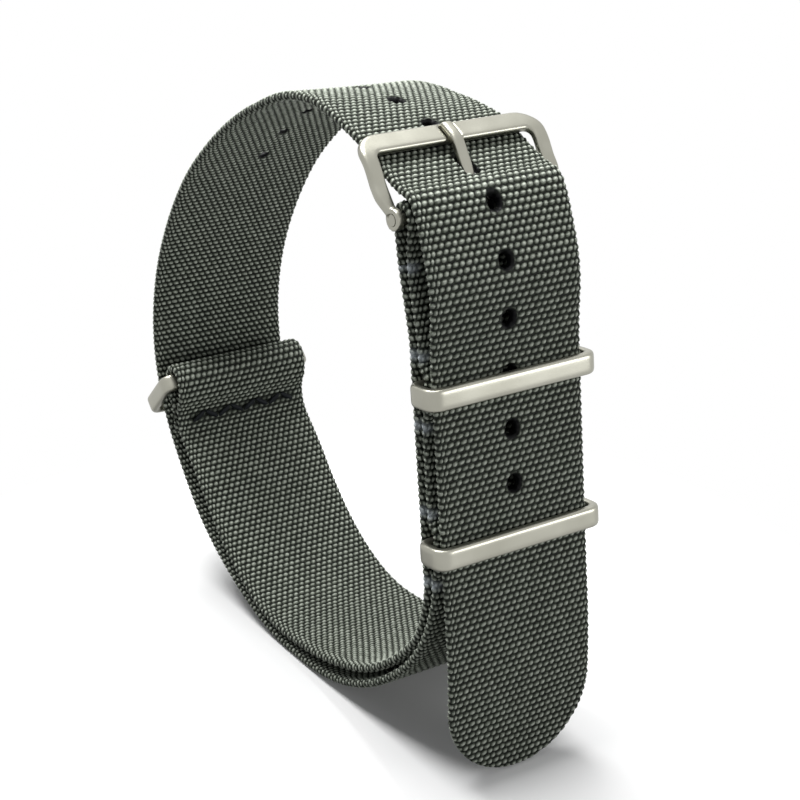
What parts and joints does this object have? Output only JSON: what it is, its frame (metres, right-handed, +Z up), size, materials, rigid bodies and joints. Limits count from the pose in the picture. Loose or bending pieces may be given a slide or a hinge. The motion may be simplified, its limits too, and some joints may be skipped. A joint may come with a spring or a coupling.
{
  "type": "watch strap",
  "caption": "pull-through woven watch strap buckled into a standing loop, with a pin buckle, two sliding metal keepers and a short under-strap ending in a metal ring",
  "frame": {"origin": "middle of the footprint of the whole part, on the surface it stands on", "axes": "X across the strap, Y from the tail and buckle at the front to the back of the loop, Z up"},
  "size_m": [0.0242, 0.0748, 0.0748],
  "materials": {
    "webbing": "woven",
    "thread": "twisted",
    "steel": "satin"
  },
  "bodies": {
    "webbing": {"long_strap": "webbing", "short_strap": "webbing", "seam_needle_thread": "thread", "seam_bobbin_thread": "thread"},
    "buckle": {"buckle_frame": "steel", "buckle_pin": "steel"},
    "tongue": {"buckle_tongue": "steel"},
    "upper_keeper": {"keeper_upper": "steel"},
    "lower_keeper": {"keeper_lower": "steel"},
    "ring": {"end_ring": "steel"}
  },
  "joints": [
    {"name": "buckle_swing", "type": "hinge", "parent": "webbing", "child": "buckle", "pos_m": [0, -0.02695, 0.06611], "axis": [1, 0, 0], "range_deg": [0, 6]},
    {"name": "tongue_swing", "type": "hinge", "parent": "buckle", "child": "tongue", "pos_m": [0, -0.02695, 0.06611], "axis": [1, 0, 0], "range_deg": [0, 8]},
    {"name": "upper_keeper_slide", "type": "slide", "parent": "webbing", "child": "upper_keeper", "axis": [0, -0.1097, -0.994], "range_m": [-0.0004, 0.0004]},
    {"name": "lower_keeper_slide", "type": "slide", "parent": "webbing", "child": "lower_keeper", "axis": [0, -0.1097, -0.994], "range_m": [-0.0004, 0.0004]},
    {"name": "ring_swing", "type": "hinge", "parent": "webbing", "child": "ring", "pos_m": [0, 0.03099, 0.02782], "axis": [1, 0, 0], "range_deg": [-4, 40]}
  ]
}
